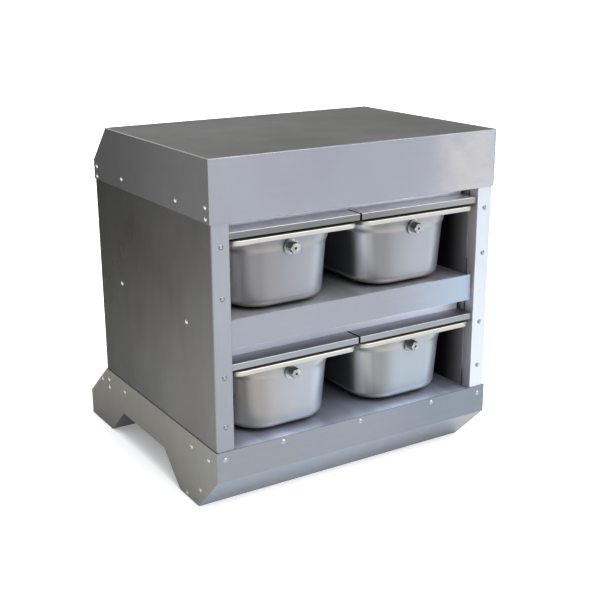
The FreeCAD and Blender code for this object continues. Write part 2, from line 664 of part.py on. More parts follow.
def pan(label, x, fall):
    high, sh, shin = D["panhigh"], D["shoulder"], D["shoulderin"]

    def taper(depth, key0, key1):
        return D[key0] - (D[key0] - D[key1]) * depth / high

    def shell(inset, floor, above):
        """The drawn body, inset by the sheet and with its floor raised by it."""
        b = body("pan")
        out = []
        stations = [(above, Dim(0))]
        for part, share in ((0.0, 0.0), (0.25, 0.13), (0.5, 0.5), (0.75, 0.87), (1.0, 1.0)):
            stations.append((sh + D["shoulderdeep"] * part, shin * share))
        stations.append((high - floor, shin))
        for depth, step in stations:
            out.append((-depth, taper(depth, "mouthwide", "footwide") - step * 2.0 - inset * 2.0,
                        taper(depth, "mouthlong", "footlong") - step * 2.0 - inset * 2.0,
                        taper(depth, "mouthround", "footround") - inset))
        solid = loft(b, "PartDesign::AdditiveLoft", out)
        doc.recompute()
        bottom = -(high - floor).val

        def low(edge):
            box_ = edge.BoundBox
            return abs(box_.ZMin - bottom) < 0.01 and abs(box_.ZMax - bottom) < 0.01
        round_edges(b, solid, D["panfillet"] - inset, low)
        return b
    outer = shell(Dim(0), Dim(0), Dim(0))
    inner = shell(D["panwall"], D["panwall"], Dim(-2.0))
    # rim: a flat flange and the edge turned down all round it
    r = body("rim")
    sk = sketch(r, "XY_Plane")
    rounded(sk, D["rimwide"], D["rimlong"], D["rimround"])
    plate = pad(r, sk, D["rimfall"], other_way=True)
    doc.recompute()
    before = plate.Shape.Volume
    sk = sketch(r, "XY_Plane", -D["rimfall"])
    rounded(sk, D["rimwide"] - D["panwall"] * 2.0, D["rimlong"] - D["panwall"] * 2.0,
            D["rimround"] - D["panwall"])
    under = r.newObject("PartDesign::Pocket", serial("Pocket"))
    under.Profile = sk
    bind(under, "Length", D["rimfall"] - D["panwall"])
    under.Reversed = True
    doc.recompute()
    if not under.Shape.Volume < before - 1000.0:
        raise RuntimeError("a rim was not hollowed underneath")
    round_edges(r, under, D["panwall"] * 1.6,
                lambda e: abs(e.BoundBox.ZMin) < 0.02 and abs(e.BoundBox.ZMax) < 0.02)
    b = cut(fuse([outer, r], "PanBlank"), [inner], "PanShell")
    doc.recompute()
    if not 1.0 < b.Shape.Volume < outer.Shape.Volume * 0.2:
        raise RuntimeError("a pan was not hollowed")
    top = D["rimtop"] - fall
    yc = D["rimfront"] + D["rimlong"] / 2
    # the screw's hole in the front wall, square to it
    wall_y = -(taper(D["knobdrop"], "mouthlong", "footlong") / 2)
    hole = doc.addObject("Part::Cylinder", serial("Rod"))
    bind(hole, "Radius", D["screwround"] + 0.3)
    bind(hole, "Height", Dim(8.0))
    turn = FreeCAD.Rotation(FreeCAD.Vector(1, 0, 0), -90 + tilt)
    start = turn.multVec(FreeCAD.Vector(0, 0, -4.0))
    hole.Placement = FreeCAD.Placement(FreeCAD.Vector(), turn)
    at(hole, 0, wall_y + start.y, -D["knobdrop"] + start.z)
    final(cut(b, [hole]), label, (x, yc, top))
    return x, yc + wall_y, top - D["knobdrop"]


def knob(tag, x, y, z):
    """Washer, six-sided pull knob and the screw that holds them, square to the wall."""
    turn = FreeCAD.Rotation(FreeCAD.Vector(1, 0, 0), 90 + tilt)
    gap = 0.02

    def local(obj, rise):
        """Puts a local primitive along the tilted axis."""
        obj.Placement = FreeCAD.Placement(FreeCAD.Vector(0, 0, rise), FreeCAD.Rotation())
        return obj

    def cyl(radius, height, rise):
        obj = doc.addObject("Part::Cylinder", serial("Rod"))
        bind(obj, "Radius", radius)
        bind(obj, "Height", height)
        at(obj, 0, 0, rise)
        return obj

    def seat(obj, label):
        obj.Label = label
        obj.Placement = FreeCAD.Placement(FreeCAD.Vector(), turn)
        at(obj, Dim.of(x) - W / 2, Dim.of(y) - D["originy"], z)
        PARTS.append(obj)

    bore = D["screwround"] + 0.3
    disc = cut(cyl(D["washerround"], D["washerthick"], gap), [cyl(bore, D["washerthick"] + 2.0, -1.0)])
    seat(disc, "knob_washer_" + tag)
    hexa = doc.addObject("Part::Prism", serial("Hex"))
    hexa.Polygon = 6
    hexa.setExpression("Circumradius", "(%s / sqrt(3))" % D["knobflats"].expr)
    bind(hexa, "Height", D["knoblong"])
    at(hexa, 0, 0, D["washerthick"] + gap)
    nose = doc.addObject("Part::Cone", serial("Cone"))
    bind(nose, "Radius1", D["knobflats"] * 0.5774 + 6.0)
    bind(nose, "Radius2", D["knobflats"] * 0.5774 - 0.6)
    bind(nose, "Height", D["knoblong"])
    at(nose, 0, 0, D["washerthick"] + gap)
    hexa = doc_common(hexa, nose)
    dimple = cyl(D["dimple"], 4.0, D["washerthick"] + D["knoblong"] + gap - 3.0)
    socket = cyl(D["screwround"] + 0.15, 8.5, D["washerthick"] + gap - 0.5)
    seat(cut(hexa, [dimple, socket]), "pull_knob_" + tag)
    # screw: head inside the pan, shank through the wall and washer into the knob
    inside = D["panwall"] + D["shoulderin"] + 0.06
    screw = fuse([cyl(D["screwround"], inside + D["washerthick"] + 6.0, -inside),
                  cyl(D["screwround"] * 1.9, 2.4, -inside - 2.4)])
    seat(screw, "knob_screw_" + tag)


def doc_common(a, b):
    obj = doc.addObject("Part::MultiCommon", serial("Common"))
    obj.Shapes = [a, b]
    return obj


for tier, fall in TIERS:
    for side, sgn in (("left", -1.0), ("right", 1.0)):
        tag = tier + "_" + side
        spot = pan("pan_" + tag, W / 2 + D["pancentre"] * sgn, fall)
        knob(tag, *spot)

for kind, items in RIVETS.items():
    final(group(items, "Rivets"), kind)

# ---------------------------------------------------------------- origin
# half of the way between the foremost and rearmost faces of the object
doc.recompute()
box_ = FreeCAD.BoundBox()
for obj in PARTS:
    box_.add(obj.Shape.BoundBox)
sheet.set("B%d" % len(VALUES), repr(round((box_.YMin + box_.YMax) / 2, 4)))
doc.recompute()

# ---------------------------------------------------------------- checks and files
for obj in doc.Objects:
    state = [s for s in obj.State if s in ("Invalid", "Error")]
    if state:
        raise RuntimeError("%s (%s) is %s" % (obj.Name, obj.Label, state))
for obj in PARTS:
    shape = obj.Shape
    if shape.isNull() or not shape.isValid():
        raise RuntimeError("%s has a bad shape" % obj.Label)
labels = [obj.Label for obj in PARTS]
if len(set(labels)) != len(labels) or len(labels) > 60:
    raise RuntimeError("labels: %d" % len(labels))
for obj in PARTS:
    obj.Shape.exportStep("parts/%s.step" % obj.Label)
box_ = FreeCAD.BoundBox()
for obj in PARTS:
    box_.add(obj.Shape.BoundBox)
print("nodes", len(PARTS))
print("box", [round(v, 3) for v in (box_.XMin, box_.XMax, box_.YMin, box_.YMax, box_.ZMin, box_.ZMax)])
for obj in PARTS:
    print("%-28s solids %2d volume %9.1f" % (obj.Label, len(obj.Shape.Solids), obj.Shape.Volume))
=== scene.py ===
import math
import bpy
import bmesh
from mathutils import Matrix, Vector

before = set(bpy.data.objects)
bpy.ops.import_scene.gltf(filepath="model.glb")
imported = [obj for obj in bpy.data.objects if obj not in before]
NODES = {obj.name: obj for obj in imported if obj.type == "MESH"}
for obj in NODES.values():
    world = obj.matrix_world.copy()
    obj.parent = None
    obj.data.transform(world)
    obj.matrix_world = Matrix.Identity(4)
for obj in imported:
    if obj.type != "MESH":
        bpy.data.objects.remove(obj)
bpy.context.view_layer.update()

scene = bpy.context.scene
scene.view_settings.view_transform = "Standard"
scene.view_settings.look = "None"


# ---------------------------------------------------------------- camera
def make_camera():
    cam = bpy.data.cameras.new("Camera")
    cam.sensor_width = 36.0
    cam.lens = 63.43
    cam.clip_start = 0.05
    cam.clip_end = 60.0
    obj = bpy.data.objects.new("Camera", cam)
    scene.collection.objects.link(obj)
    right = Vector((0.8480159, -0.5299457, -0.0051606))
    up = Vector((0.1604088, 0.2473802, 0.9555480))
    back = Vector((-0.5051119, -0.8111477, 0.2947903))
    m = Matrix((right, up, back)).transposed().to_4x4()
    m.translation = Vector((-0.75637, -1.27491, 0.66091))
    obj.matrix_world = m
    scene.camera = obj
    return obj


make_camera()


# ---------------------------------------------------------------- node helpers
class Graph:
    """A short way to build one material's nodes."""

    def __init__(self, name):
        self.mat = bpy.data.materials.new(name)
        self.mat.use_nodes = True
        self.tree = self.mat.node_tree
        self.tree.nodes.clear()
        self.out = self.add("ShaderNodeOutputMaterial")
        self.bsdf = self.add("ShaderNodeBsdfPrincipled")
        self.link(self.bsdf.outputs[0], self.out.inputs[0])
        self.coord = self.add("ShaderNodeTexCoord")

    def add(self, kind, **props):
        node = self.tree.nodes.new(kind)
        for key, value in props.items():
            setattr(node, key, value)
        return node

    def link(self, a, b):
        self.tree.links.new(a, b)

    def mapped(self, scale, offset=(0, 0, 0)):
        node = self.add("ShaderNodeMapping")
        node.inputs["Scale"].default_value = scale
        node.inputs["Location"].default_value = offset
        self.link(self.coord.outputs["Object"], node.inputs["Vector"])
        return node.outputs[0]

    def noise(self, scale, detail=4.0, rough=0.55, vector=None, distortion=0.0):
        node = self.add("ShaderNodeTexNoise")
        node.inputs["Scale"].default_value = scale
        node.inputs["Detail"].default_value = detail
        node.inputs["Roughness"].default_value = rough
        node.inputs["Distortion"].default_value = distortion
        self.link(vector if vector is not None else self.coord.outputs["Object"], node.inputs["Vector"])
        return node.outputs["Fac"]

    def ramp(self, source, stops):
        node = self.add("ShaderNodeValToRGB")
        while len(node.color_ramp.elements) > 1:
            node.color_ramp.elements.remove(node.color_ramp.elements[-1])
        for i, (pos, value) in enumerate(stops):
            e = node.color_ramp.elements[0] if i == 0 else node.color_ramp.elements.new(pos)
            e.position = pos
            e.color = (*value, 1.0) if isinstance(value, (tuple, list)) else (value, value, value, 1.0)
        self.link(source, node.inputs[0])
        return node.outputs[0]

    def mix(self, fac, a, b, mode="MIX"):
        node = self.add("ShaderNodeMix", data_type="RGBA", blend_type=mode)
        for socket, value in ((node.inputs[0], fac), (node.inputs[6], a), (node.inputs[7], b)):
            if hasattr(value, "is_linked") or hasattr(value, "links"):
                self.link(value, socket)
            elif isinstance(value, (tuple, list)):
                socket.default_value = (*value, 1.0)
            else:
                socket.default_value = value
        return node.outputs[2]

    def math(self, op, a, b=None, c=None, clamp=False):
        node = self.add("ShaderNodeMath", operation=op, use_clamp=clamp)
        for socket, value in zip(node.inputs, (a, b, c)):
            if value is None:
                continue
            if hasattr(value, "links"):
                self.link(value, socket)
            else:
                socket.default_value = value
        return node.outputs[0]

    def spread(self, source, low, high):
        node = self.add("ShaderNodeMapRange")
        node.inputs["From Min"].default_value = 0.25
        node.inputs["From Max"].default_value = 0.75
        node.inputs["To Min"].default_value = low
        node.inputs["To Max"].default_value = high
        self.link(source, node.inputs["Value"])
        return node.outputs[0]

    def bump(self, height, strength, distance, normal=None):
        node = self.add("ShaderNodeBump")
        node.inputs["Strength"].default_value = strength
        node.inputs["Distance"].default_value = distance
        self.link(height, node.inputs["Height"])
        if normal is not None:
            self.link(normal, node.inputs["Normal"])
        return node.outputs[0]


GRAIN = {"x": (6.0, 900.0, 900.0), "y": (900.0, 6.0, 900.0), "z": (900.0, 900.0, 6.0)}
LOBE = 0.42


def steel(name, colour, rough=LOBE, grain="x", grain_depth=0.3, cloud=0.06, warm=0.02, swing=0.05,
          smear=0.04, seed=0.0, metallic=0.85, wave=0.0, ramps=(), front=None, front_ramps=(),
          top=None, top_ramps=(), band=None, bend_amount=0.35, edge=None, lined=0.08,
          turn=None, dot=None, tint=None, below=None, ends=None,
          mottle=None, cloudy_band=None, outer=None, outer_ramps=(), brim=None,
          below_ramps=(), streak=None, spot=None):
    """Ground stainless sheet: fine lines along one way, slow clouding of tone and of
    polish, faint wiping marks, bends lightened as a painted highlight (partly burnish) or
    given the edge tone, and a very slight oil-canning of the flat sheet. Each ramp is
    (axis, low, high, factor, factor), a slow change of tone along the part that paints in
    light and shade; front, top, outer and below are painted lit and shaded tones of the faces
    that look that way, and band is (low, high, tone) for a strip between two heights, used
    for painted highlights and painted shadows."""
    g = Graph(name)
    fine = g.noise(1.0, 3.0, 0.6, g.mapped(GRAIN[grain], (seed, seed * 0.7, seed * 1.3)))
    broad = g.noise(5.5, 3.0, 0.5, g.mapped((1, 1, 1), (seed + 3.1, seed, seed * 0.3)), 0.4)
    blot = g.noise(26.0, 5.0, 0.6, g.mapped((1, 1, 1), (seed, seed + 7.7, seed)), 0.3)
    geo = g.add("ShaderNodeNewGeometry")
    look = g.add("ShaderNodeSeparateXYZ")
    g.link(geo.outputs["Normal"], look.inputs[0])
    ways = g.add("ShaderNodeSeparateXYZ")
    g.link(g.coord.outputs["Object"], ways.inputs[0])

    def span(source, low, high, smooth=True):
        node = g.add("ShaderNodeMapRange", interpolation_type="SMOOTHSTEP" if smooth else "LINEAR")
        node.inputs["From Min"].default_value = low
        node.inputs["From Max"].default_value = high
        g.link(source, node.inputs["Value"])
        return node.outputs[0]

    def ramped(tone, ramps):
        for axis, low, high, first, last in ramps:
            tone = g.mix(1.0, tone, g.ramp(span(ways.outputs[axis], low, high), [(0.0, first), (1.0, last)]),
                         "MULTIPLY")
        return tone
    # ramps paint light and shade as slow changes of tone along the part
    tone = ramped(colour, ramps)
    # turn: painted shade and painted highlight by how far the face looks along X
    if turn is not None:
        tone = g.mix(1.0, tone, g.ramp(span(look.outputs[0], -1.0, 1.0, False), turn), "MULTIPLY")
    # outer, front and top: painted lit and shaded tones for faces looking +X, -Y and up
    if outer is not None:
        tone = g.mix(span(look.outputs[0], 0.45, 0.9), tone, ramped(outer, outer_ramps))
    if front is not None:
        tone = g.mix(span(g.math("MULTIPLY", look.outputs[1], -1.0), 0.45, 0.95), tone,
                     ramped(front, front_ramps))
    if top is not None:
        tone = g.mix(span(look.outputs[2], 0.45, 0.95), tone, ramped(top, top_ramps))
    # band: strips between two heights, used for painted highlights and painted shadows; brim keeps the dark strips to
    # the front edge
    for low, high, other in (band or ()):
        mask = g.math("MULTIPLY", span(ways.outputs[2], low - 0.0008, low, False),
                      span(ways.outputs[2], high + 0.0008, high, False))
        if brim is not None and max(other) < 0.1:
            mask = g.math("MULTIPLY", mask, span(ways.outputs[1], brim + 0.0012, brim, False))
        tone = g.mix(mask, tone, other)
    # below: painted reflection on faces looking down
    if below is not None:
        tone = g.mix(span(look.outputs[2], -0.12, -0.75), tone, ramped(below, below_ramps))
    # a strip between two heights mixed towards another tone through soft noise
    if cloudy_band is not None:
        low, high, other, amount = cloudy_band
        mask = g.math("MULTIPLY", span(ways.outputs[2], low - 0.004, low),
                      span(ways.outputs[2], high + 0.004, high))
        cloudy = g.noise(1.0, 2.0, 0.5, g.mapped((14, 14, 60), (seed, seed, 0.0)))
        tone = g.mix(g.math("MULTIPLY", mask, g.math("MULTIPLY", g.spread(cloudy, 0.0, 1.0), amount)), tone, other)
    if streak is not None:
        axis, scale, depth, low = streak
        bands = g.noise(1.0, 2.0, 0.55, g.mapped(scale, (seed * 0.9, seed, 0.0)))
        tone = g.mix(span(g.math("ABSOLUTE", look.outputs[axis]), 0.6, 0.95), tone,
                     g.mix(1.0, tone, g.ramp(bands, [(low, tuple(1.0 - d for d in depth)), (low + 0.26, 1.0)]),
                           "MULTIPLY"))
    if spot is not None:
        axis, low, high, other, amount = spot
        spots = g.noise(1.0, 6.0, 0.62, g.mapped((13, 13, 22), (seed + 0.4, 0.0, seed)), 0.15)
        mask = g.math("MULTIPLY", span(ways.outputs[axis], low, high),
                      span(g.math("MULTIPLY", look.outputs[1], -1.0), 0.5, 0.9))
        tone = g.mix(g.math("MULTIPLY", mask, g.math("MULTIPLY", span(spots, 0.34, 0.66), amount)), tone, other)
    if mottle is not None:
        scale, dark, light = mottle
        facets = g.noise(scale, 1.0, 0.5, g.mapped((1, 1, 1), (seed, 0.0, seed)))
        tone = g.mix(1.0, tone, g.ramp(facets, [(0.40, dark), (0.60, light)]), "MULTIPLY")
    # ends: painted shadow on faces looking sideways
    if ends is not None:
        tone = g.mix(span(g.math("ABSOLUTE", look.outputs[0]), 0.85, 0.95), tone, ends)
    if dot is not None:
        out = g.math("MAXIMUM", g.math("ABSOLUTE", look.outputs[0]), g.math("ABSOLUTE", look.outputs[1]))
        tone = g.mix(span(out, 0.90, 0.97), tone, dot)
    clouds = g.ramp(broad, [(0.28, (1.0 - cloud + warm * 0.5, 1.0 - cloud, 1.0 - cloud - warm * 0.5)),
                            (0.5, (1.0 - cloud * 0.4,) * 3),
                            (0.74, (1.0 - warm * 0.5, 1.0, 1.0))])
    tone = g.mix(1.0, tone, clouds, "MULTIPLY")
    lines = g.ramp(fine, [(0.3, 1.0 - lined), (0.7, 1.0)])
    tone = g.mix(1.0, tone, lines, "MULTIPLY")
    # bends: a painted highlight (partly burnish), the tone raised by half and broken by blot noise; where edge is
    # given, bends facing the front take the edge tone instead
    if bend_amount:
        flat = g.math("MAXIMUM", g.math("MAXIMUM", g.math("ABSOLUTE", look.outputs[0]),
                                        g.math("ABSOLUTE", look.outputs[1])),
                      g.math("ABSOLUTE", look.outputs[2]))
        bent = span(flat, 0.97, 0.80)
        if edge is not None:
            bent = g.math("MULTIPLY", bent, span(look.outputs[1], -0.10, -0.25))
        bend_mask = g.math("MULTIPLY", bent, g.spread(blot, bend_amount * 0.5, bend_amount))
        tone = g.mix(bend_mask, tone, edge if edge is not None else g.mix(1.0, tone, (1.5, 1.5, 1.5), "MULTIPLY"))
    g.link(tone, g.bsdf.inputs["Base Color"])
    a = g.spread(blot, rough - smear, rough + smear)
    b = g.spread(broad, -swing, swing)
    c = g.spread(fine, -0.03, 0.03)
    total = g.math("ADD", g.math("ADD", a, b), c, clamp=True)
    g.link(total, g.bsdf.inputs["Roughness"])
    g.bsdf.inputs["Metallic"].default_value = metallic
    if tint is not None:
        g.bsdf.inputs["Specular Tint"].default_value = (*tint, 1.0)
        g.bsdf.inputs["Specular IOR Level"].default_value = 0.2
    normal = g.bump(fine, grain_depth, 0.00003)
    if wave:
        slow = g.noise(7.0, 1.0, 0.4, g.mapped((1, 1, 1), (seed, 1.7, seed + 2.2)))
        normal = g.bump(slow, wave, 0.0012, normal)
    g.link(normal, g.bsdf.inputs["Normal"])
    return g.mat


def enamel(name, colour, rough, speck=0.03, seed=0.0, spec=0.5, depth=0.15):
    """Moulded or painted surface with a fine even texture."""
    g = Graph(name)
    fine = g.noise(900.0, 2.0, 0.5, g.mapped((1, 1, 1), (seed, seed, seed)))
    broad = g.noise(14.0, 3.0, 0.5)
    dark = tuple(c * (1 - speck * 2) for c in colour)
    light = tuple(min(1.0, c * (1 + speck)) for c in colour)
    g.link(g.ramp(broad, [(0.3, dark), (0.7, light)]), g.bsdf.inputs["Base Color"])
    g.link(g.spread(broad, rough - 0.05, rough + 0.07), g.bsdf.inputs["Roughness"])
    g.bsdf.inputs["Specular IOR Level"].default_value = spec
    g.link(g.bump(fine, depth, 0.00004), g.bsdf.inputs["Normal"])
    return g.mat


def lamp_glass(name):
    g = Graph(name)
    broad = g.noise(30.0, 2.0, 0.5)
    g.link(g.ramp(broad, [(0.3, (0.86, 0.90, 0.95)), (0.7, (0.92, 0.95, 0.98))]), g.bsdf.inputs["Base Color"])
    g.link(g.spread(broad, 0.05, 0.12), g.bsdf.inputs["Roughness"])
    g.bsdf.inputs["Transmission Weight"].default_value = 0.75
    g.bsdf.inputs["IOR"].default_value = 1.45
    return g.mat


X, Y, Z = 0, 1, 2
DULL = (0.25, 0.25, 0.25)
# left side panel: painted shading, lighter low down and towards the front, darker high up and at the back
SIDE_PAINTED_SHADING = ((Z, 0.06, 0.42, 1.12, 0.50), (Y, -0.23, 0.17, 1.36, 0.70))
# painted lit tone for the front faces of the cap's apron and the shelf's fascia
LIT_FRONT_BLUE = (0.196, 0.206, 0.235)
# bay walls: painted shade, dark at the back, warm and light at the mouth; the stile's turned-in flange: painted light
BAY_PAINTED_SHADE = (Y, -0.208, -0.145, (1.0, 0.97, 0.98), (0.07, 0.07, 0.08))
FLANGE_PAINTED_LIGHT = (X, 0.1900, 0.1925, (4.4, 4.5, 4.8), (1.0, 1.0, 1.0))
# painted shading on a pan by which way its skin faces: painted shade on the flank, a lighter left corner as painted
# highlight, a soft painted highlight band at the right corner
PAN_PAINTED_SHADING = [(0.0, 0.95), (0.012, 1.8), (0.035, 3.7), (0.07, 3.1), (0.12, 1.7), (0.20, 0.95), (0.34, 0.88),
        (0.485, 1.0), (0.515, 1.0), (0.57, 1.12), (0.66, 1.30), (0.80, 1.25), (1.0, 0.60)]


def pan(name, left, shoulder, tone, warm, reach, seed, lift=1.0):
    """One pan: left is its left edge; the warm, darker painted reflection on the left fades out by the fraction reach.
    """
    w = 0.182
    # painted highlight on the rolled rim
    rim_highlight = (0.305, 0.298, 0.276)
    return steel(name, tone, 0.40, "z", 0.10, 0.05, 0.05, seed=seed, bend_amount=0.0, lined=0.03, swing=0.03,
                 # ramps: the warm painted reflection on the left, lift as a painted highlight on the left corner, and a
                 # faint painted light band towards the right
                 ramps=((X, left + 0.24 * w, left + reach * w, warm, (1.0, 1.0, 1.0)),
                        (X, left + 0.08 * w, left + 0.20 * w, lift, 1.0),
                        (X, left + 0.55 * w, left + 0.80 * w, (1.0, 1.0, 1.0), (1.03, 1.05, 1.06))),
                 # a warm lighter strip, broken by noise, at the shoulder height
                 cloudy_band=(shoulder - 0.004, shoulder + 0.001, (0.33, 0.30, 0.24), 0.32), turn=PAN_PAINTED_SHADING,
                 # below and top: painted reflection on faces looking down, painted light on faces looking up
                 below=tuple(c * f for c, f in zip(tone, (1.42, 1.24, 0.98))),
                 top=(0.40, 0.405, 0.41), brim=-0.2066,
                 # bands: the rim's painted highlight, and near-black strips above it as painted shadow under the cover
                 # lip, kept to the front edge by brim
                 band=((0.1904, 0.1964, rim_highlight), (0.3552, 0.3612, rim_highlight),
                       (0.1959, 0.1990, (0.05, 0.05, 0.05)), (0.3607, 0.3640, (0.05, 0.05, 0.05))))


